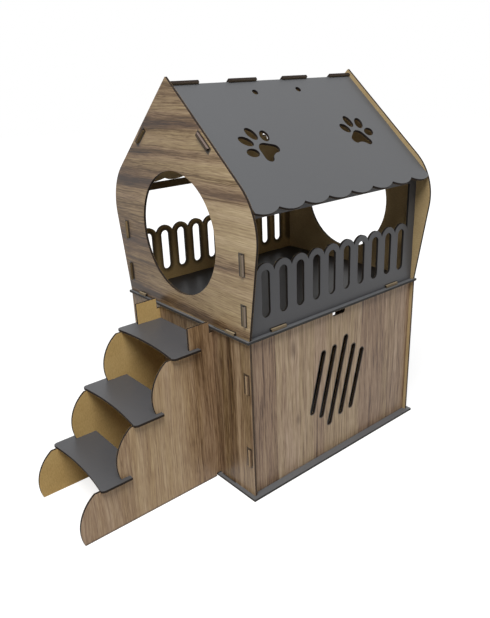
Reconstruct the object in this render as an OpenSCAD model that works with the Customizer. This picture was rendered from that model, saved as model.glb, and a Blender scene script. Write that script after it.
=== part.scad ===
// Two-storey cat condo built from tab-and-slot panels: a closed lower room, a
// gabled house with railings and a scalloped roof on top of it, and a flight of
// stairs with round-nosed stringers against the left wall.
// Millimetres, +Z up. The origin is the centre of the base plate's underside,
// +X runs along the front to the right and +Y from the front to the back.

/* [Panels] */
// Thickness of every panel
panel_t = 5; // [3:0.5:7]
// Length of the tabs that lock one panel into the next
tab_l = 37; // [24:1:44]
// How far the railings' and roof panels' tabs stand out of the gables
tab_over = 4; // [0:0.5:6]
// Clearance round a tab in its slot
slot_gap = 0.2; // [0.1:0.05:0.4]
// Clearance between units that lift off or pull away from each other
seat_gap = 0.3; // [0.2:0.05:0.6]

/* [Lower room] */
// Length over the two end walls
box_l = 480; // [430:5:560]
// Depth of the end walls, front edge to back edge
box_d = 400; // [370:5:440]
// Height of the walls between the base plate and the deck plate
wall_h = 322; // [300:1:360]
// Overhang of the base plate past the walls, all round
base_lip = 8; // [3:0.5:10]
// Overhang of the deck plate past the end walls
deck_end_lip = 5; // [3:0.5:8]
// Overhang of the deck plate past the walls' front and back edges
deck_front_lip = 2; // [0.5:0.5:8]
// Setback of the front and back panels behind the end walls' edges
panel_setback = 7; // [4:0.5:12]
// Spacing of the two tabs on each upright edge of the front and back panels
box_tab_pitch = 156; // [110:2:200]
// Spacing of the two tabs on the top and bottom edges of an end wall
wall_tab_pitch = 240; // [160:5:280]
// Diameter of the lower room's doorway in the right wall
side_door_d = 150; // [130:2:160]
// Distance of that doorway's centre behind the middle of the wall
side_door_y = 100; // [85:1:105]
// Height of that doorway's centre above the foot of the wall
side_door_z = 195; // [180:1:225]

/* [Front panel openings] */
// Length of the middle ventilation slot between its end centres
vent_l = 186; // [140:2:210]
// Width of a ventilation slot
vent_w = 12; // [6:0.5:14]
// Spacing of the ventilation slots
vent_pitch = 30.4; // [24:0.2:36]
// Lean of the ventilation slots to the right, in degrees
vent_lean = 14.4; // [0:0.2:25]
// Width of the finger notch in the top edge
notch_w = 36; // [28:1:60]
// Depth of the finger notch
notch_h = 13.5; // [10:0.5:20]
// Radius of the finger notch's lower corners
notch_r = 5; // [2:0.5:8]

/* [Gables] */
// Outward lean of the gable's side edges, in degrees
gable_lean = 8.9; // [6:0.1:11]
// Slope of the gable's top edges and of the roof, in degrees
roof_pitch = 41.6; // [39:0.1:43]
// Radius of the gable's round shoulders
shoulder_r = 115; // [70:1:130]
// Diameter of the round doorway in each gable
door_d = 236; // [190:2:250]
// Height of the doorway's centre above the gable's foot
door_z = 158; // [145:1:175]

/* [House floor] */
// Spacing of the floor's tabs along the front and back
floor_tab_pitch = 330; // [200:5:360]
// Length of the floor's tabs through the gables
floor_end_tab_l = 25; // [16:1:40]
// Spacing of the floor's tabs along each gable
floor_end_tab_pitch = 299; // [260:1:310]

/* [Railings] */
// Height of a railing above its foot
railing_h = 226; // [200:1:240]
// Width of a railing's end posts
post_w = 22; // [14:1:30]
// Height of the rail that joins the posts' tops
top_rail_h = 15; // [10:0.5:24]
// Number of arches along a railing
arch_n = 10; // [6:1:11]
// Height of the arches' centres above the railing's foot
arch_z = 108.5; // [90:0.5:125]
// How far each arch overlaps the next, on each side
arch_lap = 0.7; // [0.4:0.1:2]
// Width of the slot in each arch
baluster_gap = 20; // [12:0.5:24]
// Height of the slots' lowest points above the railing's foot
baluster_z = 30; // [20:1:45]
// Height of the lower gable tab's middle above the railing's foot
railing_tab_z = 45; // [34:1:55]
// Spacing of the two gable tabs up a post
railing_tab_pitch = 92; // [70:1:110]
// Room between the top rail and the roof above it
railing_room = 21.3; // [10:0.1:40]

/* [Roof] */
// Depth of the roof's outer face below the gables' top edges
roof_drop = 8; // [4:0.5:12]
// Distance down the slope from the gables' peak to the eave's cusps
eave_s = 300; // [270:1:310]
// Number of scallops along the eave
scallop_n = 8; // [4:1:12]
// Depth of a scallop
scallop_h = 10; // [5:0.5:16]
// Distance down the slope from the peak to the end tabs' middle
roof_tab_s = 143; // [110:1:180]
// Extra room under those tabs and past their lower ends in the gables' slots
roof_slot_room = 2; // [0.5:0.5:4]
// Number of fingers on the back panel's ridge edge
finger_n = 4; // [2:1:6]
// Length of a ridge finger past the back panel's ridge edge
finger_l = 9.5; // [6:0.5:12]
// Room between the fingers and the front panel's ridge edge under them
finger_room = 1.5; // [0.2:0.1:4]
// Diameter of the two small holes near the ridge
ridge_hole_d = 13; // [5:0.5:16]
// Spacing of the two small holes
ridge_hole_pitch = 114; // [60:2:200]
// Distance down the slope from the peak to the small holes
ridge_hole_s = 41.5; // [30:0.5:60]

/* [Paw cut-outs] */
// Spacing of the two paws' pads
paw_pitch = 246; // [180:2:280]
// Shift of both pads to the right of the panel's middle
paw_shift = 2.5; // [-10:0.5:10]
// Distance down the slope from the peak to the pads' centres
paw_s = 185; // [165:1:210]
// Turn of the left paw, anticlockwise, in degrees
left_paw_turn = 35; // [-45:1:45]
// Turn of the right paw, anticlockwise, in degrees
right_paw_turn = -16; // [-45:1:45]
// Length of an inner toe
inner_toe_l = 31; // [24:1:34]
// Length of an outer toe
outer_toe_l = 27; // [20:1:30]
// Width of a toe
toe_w = 20; // [12:0.5:22]
// Reach from the pad's centre to the middle of an inner toe
inner_toe_reach = 46; // [44:0.5:56]
// Reach from the pad's centre to the middle of an outer toe
outer_toe_reach = 37.5; // [36:0.5:48]
// Radius of the pad's front lobe
pad_front_r = 15.5; // [12:0.5:17]
// Radius of each heel lobe of the pad
pad_heel_r = 9.5; // [7:0.5:11]
// Distance of each heel lobe from the paw's axis
pad_heel_x = 16; // [13:0.5:18]

/* [Stairs] */
// Width over the two stringers
stair_w = 186; // [150:2:240]
// Depth of the upper tread below the deck's upper face
upper_tread_drop = 35; // [20:1:60]
// Distance from one tread's front to the next
going = 84; // [70:1:100]
// Distance from the wall to the upper tread's front
upper_reach = 97; // [90:1:120]
// Radius of the round nose under each tread
nose_r = 81; // [74:0.5:92]
// Setback of the nose's centre behind the tread's front
nose_back = 37; // [20:1:50]
// How far a tread's wings stand out past the stringers
wing_w = 9; // [5:0.5:16]
// Length of a tread's wings, from the tread's front
wing_l = 62; // [50:1:70]
// Depth of the lower and middle treads between the stringers
tread_d = 87; // [75:1:100]
// How much further the middle tread stands out than the others
middle_tread_over = 6; // [0:0.5:10]
// Radius of a tread's front corners
tread_corner_r = 9; // [3:0.5:14]
// Depth of the hollow in a tread's front edge
tread_hollow = 8.5; // [2:0.5:12]
// Distance from the wall to the front of the stringers' upright cheeks
cheek_reach = 54.6; // [50:0.5:58]
// Height of the cheeks above the deck's upper face
cheek_over = 9; // [0:0.5:30]
// Room between the stringers and the plates' overhanging edges
lip_room = 2.8; // [1.5:0.1:5]

/* [Hidden] */
$fn = 96;

// Overrun of cuts past the face they start from, and of tabs into their panel
overrun = 1;
// Both sides of a symmetric pair
SIDES = [-1, 1];
walnut = [0.55, 0.46, 0.37];
dark_grey = [0.38, 0.38, 0.39];
deep_grey = [0.27, 0.27, 0.29];

// Clear length between the end walls and between the gables
inner_l = box_l - 2 * panel_t;
// Distance from the middle to the inner faces of the front and back panels
inner_y = box_d / 2 - panel_setback - panel_t;

// Height of the gable's peak above its foot: the roof clears the railings' top rails
gable_h = railing_h + railing_room + (roof_drop + panel_t) / cos(roof_pitch)
    + (inner_y + panel_t) * tan(roof_pitch);

// Levels of the stacked plates
wall_z = panel_t;
deck_z = wall_z + wall_h;
deck_top = deck_z + panel_t;
house_z = deck_top + seat_gap;
peak_z = house_z + gable_h;

// Lengths of the ventilation slots, left to right, as shares of the middle one
vent_length_shares = [0.67, 0.78, 1, 0.78, 0.67];

// Corner that the gable's side and top edges would make without the shoulder
corner_z = (gable_h - box_d / 2 * tan(roof_pitch)) / (1 + tan(gable_lean) * tan(roof_pitch));
corner_y = box_d / 2 + corner_z * tan(gable_lean);
shoulder_run = shoulder_r * tan((90 - roof_pitch + gable_lean) / 2);
// Points where the shoulder's arc runs into the side edge and the top edge
side_tangent = [corner_y - shoulder_run * sin(gable_lean), corner_z - shoulder_run * cos(gable_lean)];
top_tangent = [corner_y - shoulder_run * cos(roof_pitch), corner_z + shoulder_run * sin(roof_pitch)];
shoulder_at = side_tangent + shoulder_r * [-cos(gable_lean), sin(gable_lean)];

// Arches fill the railing between its posts
arch_pitch = (inner_l - 2 * post_w) / arch_n;
arch_r = arch_pitch / 2 + arch_lap;

// The roof panels' lower faces meet over the middle of the house
ridge_s = (roof_drop + panel_t) * tan(roof_pitch) + slot_gap;
// Relief that keeps the front panel's square edge clear of the back panel's fingers
finger_relief = max(0, panel_t / tan(2 * roof_pitch)) + finger_room;
finger_w = box_l / (2 * finger_n - 1);
scallop_pitch = box_l / scallop_n;
scallop_r = scallop_pitch * scallop_pitch / (8 * scallop_h) + scallop_h / 2;

// Turns of the toes from the paw's axis, and the pad's lobes
inner_toe_turn = 17;
outer_toe_turn = 53;
toe_points = 32;
pad_front_share = 0.4;
pad_heel_share = 0.6;
heel_hollow_share = 0.5;
pad_front_y = pad_front_share * pad_front_r;
pad_heel_y = -pad_heel_share * pad_heel_r;
heel_hollow = heel_hollow_share * pad_heel_r;
// Radius of the hollow that runs smoothly into both heel lobes, and the turn where it meets them
heel_hollow_r = (pad_heel_x * pad_heel_x / heel_hollow + heel_hollow) / 2 - pad_heel_r;
heel_turn = atan2(heel_hollow_r + pad_heel_r - heel_hollow, pad_heel_x);
arc_steps = 12;
// Turn at which the pad's edge leaves the front lobe for a heel lobe
pad_turn = atan2(pad_heel_y - pad_front_y, pad_heel_x)
    + acos((pad_front_r - pad_heel_r) / norm([pad_heel_x, pad_heel_y - pad_front_y]));

// Treads count upwards from 1, and the upper one leads to the deck
upper_step = 3;
middle_step = 2;
rise = (deck_top - upper_tread_drop) / upper_step;
wall_x = -box_l / 2 - seat_gap;
inner_stair_w = stair_w - 2 * panel_t;
tread_w = stair_w + 2 * wing_w;
nose_drop = sqrt(nose_r * nose_r - nose_back * nose_back);
upper_tread_d = upper_reach - slot_gap;
hollow_r = tread_w * tread_w / (8 * tread_hollow) + tread_hollow / 2;
base_cut_l = base_lip + lip_room;
deck_cut_l = deck_end_lip + lip_room;

// Front of a step, the front edge of its tread, and the tread's upper face
function front_x(step) = wall_x - upper_reach - (upper_step - step) * going;
function tread_x(step) = front_x(step) - (step == middle_step ? middle_tread_over : 0);
function tread_z(step) = step * rise;

// Points of an arc round a centre, between two turns from +X, without some at either end
function arc(centre, r, first, last, left_out = 0) =
    [for (i = [left_out : arc_steps - left_out])
        let (turn = first + (last - first) * i / arc_steps) centre + r * [cos(turn), sin(turn)]];

// Extrudes an outline of (Y, Z) into an upright panel that starts at x
module panel_across_x(x, z) {
    translate([x, 0, z]) rotate([90, 0, 90]) linear_extrude(panel_t) children();
}

// Extrudes an outline of (X, Z) into an upright panel that starts at y
module panel_across_y(y, z) {
    translate([0, y + panel_t, z]) rotate([90, 0, 0]) linear_extrude(panel_t) children();
}

// Extrudes an outline of (X, Y) into a level panel that starts at z
module level_panel(z) {
    translate([0, 0, z]) linear_extrude(panel_t) children();
}

// Tab that stands out of an edge along +Y, through one panel and past it
module tab(l, over = 0) {
    translate([-l / 2, -overrun]) square([l, overrun + panel_t + over]);
}

// Slot that takes a tab of another panel, from that panel's face along +Y
module slot(l) {
    translate([-l / 2 - slot_gap, -slot_gap]) square([l + 2 * slot_gap, panel_t + 2 * slot_gap]);
}

// Slot for a roof panel's end tab, with room under it and down the slope from it
module roof_slot() {
    translate([-tab_l / 2 - slot_gap, -roof_slot_room])
        square([tab_l + slot_gap + roof_slot_room, panel_t + roof_slot_room + slot_gap]);
}

// Slot that is open at the panel's foot
module foot_slot(l) {
    translate([-l / 2 - slot_gap, -overrun]) square([l + 2 * slot_gap, overrun + panel_t + slot_gap]);
}

// Upright opening with round ends, l between the end centres
module round_slot(l, w) {
    square([w, l], center = true);
    for (side = SIDES) translate([0, side * l / 2]) circle(d = w);
}

// Plate of the lower room with the slots for the end walls' tabs
module plate_outline(end_lip, front_lip) {
    difference() {
        square([box_l + 2 * end_lip, box_d + 2 * front_lip], center = true);
        for (side = SIDES, end = SIDES)
            translate([side * inner_l / 2, end * wall_tab_pitch / 2]) rotate(-90 * side) slot(tab_l);
    }
}

// End wall of the lower room, drawn from its foot
module wall_outline() {
    difference() {
        union() {
            translate([-box_d / 2, 0]) square([box_d, wall_h]);
            for (side = SIDES) {
                translate([side * wall_tab_pitch / 2, wall_h]) tab(tab_l);
                translate([side * wall_tab_pitch / 2, 0]) rotate(180) tab(tab_l);
            }
        }
        for (side = SIDES, end = SIDES)
            translate([side * inner_y, wall_h / 2 + end * box_tab_pitch / 2]) rotate(-90 * side) slot(tab_l);
    }
}

// Front or back panel of the lower room, drawn from its foot
module box_panel_outline() {
    translate([-inner_l / 2, 0]) square([inner_l, wall_h]);
    for (side = SIDES, end = SIDES)
        translate([side * inner_l / 2, wall_h / 2 + end * box_tab_pitch / 2]) rotate(-90 * side) tab(tab_l);
}

module vents() {
    middle = (len(vent_length_shares) - 1) / 2;
    rotate(-vent_lean)
        for (i = [0 : len(vent_length_shares) - 1])
            translate([(i - middle) * vent_pitch, 0]) round_slot(vent_l * vent_length_shares[i], vent_w);
}

// Notch for the fingers, open at the top edge
module finger_notch() {
    translate([-notch_w / 2, notch_r - notch_h]) square([notch_w, notch_h - notch_r + overrun]);
    translate([notch_r - notch_w / 2, -notch_h]) square([notch_w - 2 * notch_r, notch_h]);
    for (side = SIDES) translate([side * (notch_w / 2 - notch_r), notch_r - notch_h]) circle(notch_r);
}

// Gable without its openings: straight edges joined by the two round shoulders
module gable_outline() {
    half = [[box_d / 2, 0], side_tangent, top_tangent];
    polygon(concat(half, [[0, gable_h]], [for (i = [2 : -1 : 0]) [-half[i].x, half[i].y]]));
    for (side = SIDES) translate([side * shoulder_at.x, shoulder_at.y]) circle(shoulder_r);
}

// Places a shape on the gable's top edge: +X down the slope, +Y outwards
module on_slope(side) {
    mirror([side < 0 ? 1 : 0, 0, 0]) translate([0, gable_h]) rotate(-roof_pitch) children();
}

module gable_panel() {
    difference() {
        gable_outline();
        translate([0, door_z]) circle(d = door_d);
        for (side = SIDES) {
            for (z = [railing_tab_z, railing_tab_z + railing_tab_pitch])
                translate([side * inner_y, z]) rotate(-90 * side) slot(tab_l);
            translate([side * floor_end_tab_pitch / 2, 0]) foot_slot(floor_end_tab_l);
            on_slope(side) translate([roof_tab_s, -roof_drop - panel_t]) roof_slot();
        }
    }
}

// One-piece railing: posts, top rail and a fence of slotted arches
module railing_outline() {
    middle = (arch_n - 1) / 2;
    slot_l = arch_z - baluster_z - baluster_gap / 2;
    difference() {
        union() {
            translate([-inner_l / 2, 0]) square([inner_l, arch_z]);
            translate([-inner_l / 2, railing_h - top_rail_h]) square([inner_l, top_rail_h]);
            for (side = SIDES) {
                translate([side * (inner_l - post_w) / 2, railing_h / 2])
                    square([post_w, railing_h], center = true);
                for (z = [railing_tab_z, railing_tab_z + railing_tab_pitch])
                    translate([side * inner_l / 2, z]) rotate(-90 * side) tab(tab_l, tab_over);
            }
            for (i = [0 : arch_n - 1]) translate([(i - middle) * arch_pitch, arch_z]) circle(arch_r);
        }
        for (i = [0 : arch_n - 1])
            translate([(i - middle) * arch_pitch, arch_z - slot_l / 2]) round_slot(slot_l, baluster_gap);
        for (side = SIDES) translate([side * floor_tab_pitch / 2, 0]) foot_slot(tab_l);
    }
}

// Toe of a paw, its length along +Y
module toe(l) {
    polygon([for (i = [0 : toe_points - 1])
        let (turn = 360 * i / toe_points) [toe_w / 2 * cos(turn), l / 2 * sin(turn)]]);
}

// Pad of a paw: a front lobe and two heel lobes with a hollow between them
module pad() {
    hollow_at = pad_heel_y - pad_heel_r + heel_hollow - heel_hollow_r;
    polygon(concat(
        arc([pad_heel_x, pad_heel_y], pad_heel_r, heel_turn - 180, pad_turn),
        arc([0, pad_front_y], pad_front_r, pad_turn, 180 - pad_turn),
        arc([-pad_heel_x, pad_heel_y], pad_heel_r, 180 - pad_turn, 360 - heel_turn),
        arc([0, hollow_at], heel_hollow_r, 180 - heel_turn, heel_turn, 1)
    ));
}

module paw(turn) {
    rotate(turn) {
        pad();
        for (side = SIDES) {
            rotate(side * inner_toe_turn) translate([0, inner_toe_reach]) toe(inner_toe_l);
            rotate(side * outer_toe_turn) translate([0, outer_toe_reach]) toe(outer_toe_l);
        }
    }
}

// Ridge fingers, or the reliefs under them, l deep from the ridge edge
module ridge_teeth(l, gap) {
    for (i = [0 : finger_n - 1]) {
        first = max(-inner_l / 2, 2 * i * finger_w - box_l / 2) - gap;
        last = min(inner_l / 2, (2 * i + 1) * finger_w - box_l / 2) + gap;
        translate([first, -overrun]) square([last - first, l + overrun]);
    }
}

// Roof panel seen from outside, its +Y up the slope and its zero at the peak
module roof_outline() {
    middle = (scallop_n - 1) / 2;
    difference() {
        union() {
            translate([-inner_l / 2, scallop_h - eave_s]) square([inner_l, eave_s - scallop_h - ridge_s]);
            intersection() {
                for (i = [0 : scallop_n - 1])
                    translate([(i - middle) * scallop_pitch, scallop_r - scallop_h - eave_s])
                        circle(scallop_r);
                translate([-inner_l / 2, -scallop_h - eave_s - overrun])
                    square([inner_l, 2 * scallop_h + 2 * overrun]);
            }
            for (side = SIDES)
                translate([side * inner_l / 2, -roof_tab_s]) rotate(-90 * side) tab(tab_l, tab_over);
        }
        translate([paw_shift - paw_pitch / 2, -paw_s]) paw(left_paw_turn);
        translate([paw_shift + paw_pitch / 2, -paw_s]) paw(right_paw_turn);
        for (side = SIDES) translate([side * ridge_hole_pitch / 2, -ridge_hole_s]) circle(d = ridge_hole_d);
    }
}

// Lays a roof panel on the front slope, its outer face roof_drop below the gables' edges
module roof_panel() {
    translate([0, 0, peak_z]) rotate([roof_pitch, 0, 0]) translate([0, 0, -roof_drop - panel_t])
        linear_extrude(panel_t) children();
}

// One step of a stringer: a round nose with the panel behind it
module step_outline(step) {
    nose = [front_x(step) + nose_back, tread_z(step) - nose_drop];
    intersection() {
        union() {
            translate(nose) circle(nose_r);
            translate([nose.x, 0]) square([wall_x - nose.x, tread_z(step)]);
        }
        translate([nose.x - nose_r, tread_z(step - 1)]) square([wall_x - nose.x + nose_r, rise]);
    }
}

module stringer_outline() {
    cheek_x = wall_x - cheek_reach;
    difference() {
        union() {
            for (step = [1 : upper_step]) step_outline(step);
            translate([cheek_x, tread_z(upper_step) - overrun])
                square([cheek_reach, overrun + upper_tread_drop + cheek_over]);
        }
        for (step = [1 : upper_step])
            translate([tread_x(step) - nose_r, tread_z(step) - panel_t - slot_gap])
                square([nose_r + wing_l + slot_gap, panel_t + 2 * slot_gap]);
        translate([wall_x - base_cut_l, -overrun])
            square([base_cut_l + overrun, overrun + panel_t + lip_room]);
        translate([wall_x - deck_cut_l, deck_z - deck_cut_l])
            square([deck_cut_l + overrun, deck_cut_l + panel_t + cheek_over + overrun]);
    }
}

// Tread with wings over the stringers and a hollow front edge, drawn from its front
module tread_outline(depth) {
    difference() {
        union() {
            translate([tread_corner_r, -tread_w / 2]) square([wing_l - tread_corner_r, tread_w]);
            translate([0, tread_corner_r - tread_w / 2]) square([wing_l, tread_w - 2 * tread_corner_r]);
            for (side = SIDES)
                translate([tread_corner_r, side * (tread_w / 2 - tread_corner_r)]) circle(tread_corner_r);
            translate([wing_l - overrun, slot_gap - inner_stair_w / 2])
                square([depth - wing_l + overrun, inner_stair_w - 2 * slot_gap]);
        }
        translate([tread_hollow - hollow_r, 0]) circle(hollow_r, $fn = 360);
    }
}

module tread(step, depth) {
    translate([tread_x(step), 0, 0]) level_panel(tread_z(step) - panel_t) tread_outline(depth);
}

module base_plate() {
    color(dark_grey) level_panel(0) plate_outline(base_lip, base_lip);
}

module box_front_panel() {
    color(walnut) panel_across_y(-inner_y - panel_t, wall_z)
        difference() {
            box_panel_outline();
            translate([0, wall_h / 2]) vents();
            translate([0, wall_h]) finger_notch();
        }
}

module box_back_panel() {
    color(walnut) panel_across_y(inner_y, wall_z) box_panel_outline();
}

module box_left_wall() {
    color(walnut) panel_across_x(-box_l / 2, wall_z) wall_outline();
}

module box_right_wall() {
    color(walnut) panel_across_x(inner_l / 2, wall_z)
        difference() {
            wall_outline();
            translate([side_door_y, side_door_z]) circle(d = side_door_d);
        }
}

module box_top_plate() {
    color(dark_grey) level_panel(deck_z) plate_outline(deck_end_lip, deck_front_lip);
}

module house_floor() {
    color(deep_grey) level_panel(house_z) {
        square([inner_l, 2 * inner_y], center = true);
        for (side = SIDES, end = SIDES) {
            translate([end * floor_tab_pitch / 2, side * inner_y]) rotate(side < 0 ? 180 : 0) tab(tab_l);
            translate([side * inner_l / 2, end * floor_end_tab_pitch / 2]) rotate(-90 * side)
                tab(floor_end_tab_l);
        }
    }
}

module left_gable() {
    color(walnut) panel_across_x(-box_l / 2, house_z) gable_panel();
}

module right_gable() {
    color(walnut) panel_across_x(inner_l / 2, house_z) gable_panel();
}

module front_railing() {
    color(dark_grey) panel_across_y(-inner_y - panel_t, house_z) railing_outline();
}

module back_railing() {
    color(dark_grey) panel_across_y(inner_y, house_z) railing_outline();
}

module front_roof() {
    color(dark_grey) roof_panel()
        difference() {
            roof_outline();
            translate([0, -ridge_s]) mirror([0, 1, 0]) ridge_teeth(finger_relief, slot_gap);
        }
}

module back_roof() {
    color(dark_grey) rotate(180) roof_panel() {
        roof_outline();
        translate([0, -ridge_s]) ridge_teeth(finger_l, 0);
    }
}

module near_stringer() {
    color(walnut) panel_across_y(-stair_w / 2, 0) stringer_outline();
}

module far_stringer() {
    color(walnut) panel_across_y(stair_w / 2 - panel_t, 0) stringer_outline();
}

module lower_tread() {
    color(dark_grey) tread(middle_step - 1, tread_d);
}

module middle_tread() {
    color(dark_grey) tread(middle_step, tread_d + middle_tread_over);
}

module upper_tread() {
    color(dark_grey) tread(upper_step, upper_tread_d);
}

base_plate();
box_front_panel();
box_back_panel();
box_left_wall();
box_right_wall();
box_top_plate();
house_floor();
left_gable();
right_gable();
front_railing();
back_railing();
front_roof();
back_roof();
near_stringer();
far_stringer();
lower_tread();
middle_tread();
upper_tread();
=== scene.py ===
"""Looks of a two-storey cat condo cut from one-sided laminated fibreboard.

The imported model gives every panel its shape. Each panel is then dressed as the real board is: a printed walnut or a
plain grey film on its outer face, bare fibreboard on its inner face, and edges scorched by the cutting. The tabs of the
lower room's front and back panels and of the house's floor are lengthened, so that they stand out as the others do.
"""

import logging
import math
from dataclasses import dataclass
from enum import Enum
from typing import Any, Union

import bmesh
import bpy
from mathutils import Matrix, Vector


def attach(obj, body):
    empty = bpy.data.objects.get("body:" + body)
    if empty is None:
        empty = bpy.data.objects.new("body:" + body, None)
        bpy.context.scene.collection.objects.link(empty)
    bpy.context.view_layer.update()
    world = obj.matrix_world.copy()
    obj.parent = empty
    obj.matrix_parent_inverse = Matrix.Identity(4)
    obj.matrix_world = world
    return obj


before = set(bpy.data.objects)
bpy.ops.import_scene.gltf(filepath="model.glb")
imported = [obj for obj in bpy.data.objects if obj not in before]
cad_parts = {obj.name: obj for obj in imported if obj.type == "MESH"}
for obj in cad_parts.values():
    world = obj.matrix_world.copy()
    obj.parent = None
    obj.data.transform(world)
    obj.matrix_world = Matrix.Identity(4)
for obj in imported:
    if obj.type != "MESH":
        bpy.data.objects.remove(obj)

LOG = logging.getLogger("cat_condo")
ROOF_PITCH = math.radians(41.6)
MM = 0.001

# The board's thickness, the depth of its film, and the depth over which one finish goes over into the next.
THICKNESS = 5 * MM
FILM_DEPTH = 0.2 * MM
FADE = 0.1 * MM

# Half the length of both storeys, the distance from the middle to the mid-plane of the boards along their long sides,
# and the height of the lower room's middle.
HALF_LENGTH = 240 * MM
PANEL_Y = 190.5 * MM
ROOM_Z = 166 * MM

# How far short of a tab's tip an edge counts as its end, how far from there the tab takes the stub colours, and
# how far an added length goes into its tab.
END_SLACK = 0.5 * MM
STUB = 3.5 * MM
BITE = 0.5 * MM

# Half the size of a tab's slot, across and along. Where the tab stands out and hides part of its slot, the rim is drawn
# wider and nearer to the middle of the board, as painted shade of the gap and of the tab's shadow.
SLOT_HALF = (2.7 * MM, 18.7 * MM)
WIDE_RIM_HALF = (6 * MM, 18.7 * MM)
WIDE_RIM_SHIFT = 2.4 * MM

Pair = tuple[float, float]
Rgb = tuple[float, float, float]
Axis = tuple[float, float, float]
Number = Union["Value", float]
Block = tuple[Vector, Vector]
Stops = list[tuple[float, tuple[float, ...]]]

ALONG_X: Axis = (1.0, 0.0, 0.0)
ALONG_Y: Axis = (0.0, 1.0, 0.0)
ALONG_Z: Axis = (0.0, 0.0, 1.0)


def linear(colour: Rgb) -> tuple[float, float, float, float]:
    """Turns a display colour, with channels from 0 to 255, into the renderer's linear one."""
    shares = (channel / 255 for channel in colour)
    return (*(s / 12.92 if s <= 0.04045 else ((s + 0.055) / 1.055) ** 2.4 for s in shares), 1.0)


class Facing(Enum):
    """The way that a panel's laminated face looks."""

    LEFT = (-1.0, 0.0, 0.0)
    RIGHT = ALONG_X
    FRONT = (0.0, -1.0, 0.0)
    BACK = ALONG_Y
    UP = ALONG_Z
    FRONT_SLOPE = (0.0, -math.sin(ROOF_PITCH), math.cos(ROOF_PITCH))
    BACK_SLOPE = (0.0, math.sin(ROOF_PITCH), math.cos(ROOF_PITCH))


class Grain(Enum):
    """The way that the film's grain runs."""

    UPRIGHT = ALONG_Z
    DEEP = ALONG_Y
    LONG = ALONG_X


class Joint(Enum):
    """How one stripe of the walnut print goes over into the next."""

    HARD = "CONSTANT"
    SOFT = "EASE"


class Value:
    """A node's output, with Python's operators for its numbers."""

    def __init__(self, graph: "Graph", socket: bpy.types.NodeSocket) -> None:
        """Keeps the socket and the graph it belongs to."""
        self.graph = graph
        self.socket = socket

    def __add__(self, other: Number) -> "Value":
        """Adds a value or a number."""
        return self.graph.maths("ADD", self, other)

    def __sub__(self, other: Number) -> "Value":
        """Takes a value or a number away."""
        return self.graph.maths("SUBTRACT", self, other)

    def __rsub__(self, other: Number) -> "Value":
        """Takes this value away from a number."""
        return self.graph.maths("SUBTRACT", other, self)

    def __mul__(self, other: Number) -> "Value":
        """Multiplies by a value or a number."""
        return self.graph.maths("MULTIPLY", self, other)

    def __abs__(self) -> "Value":
        """Gives the value without its sign."""
        return self.graph.maths("ABSOLUTE", self)

    __radd__ = __add__
    __rmul__ = __mul__


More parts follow.
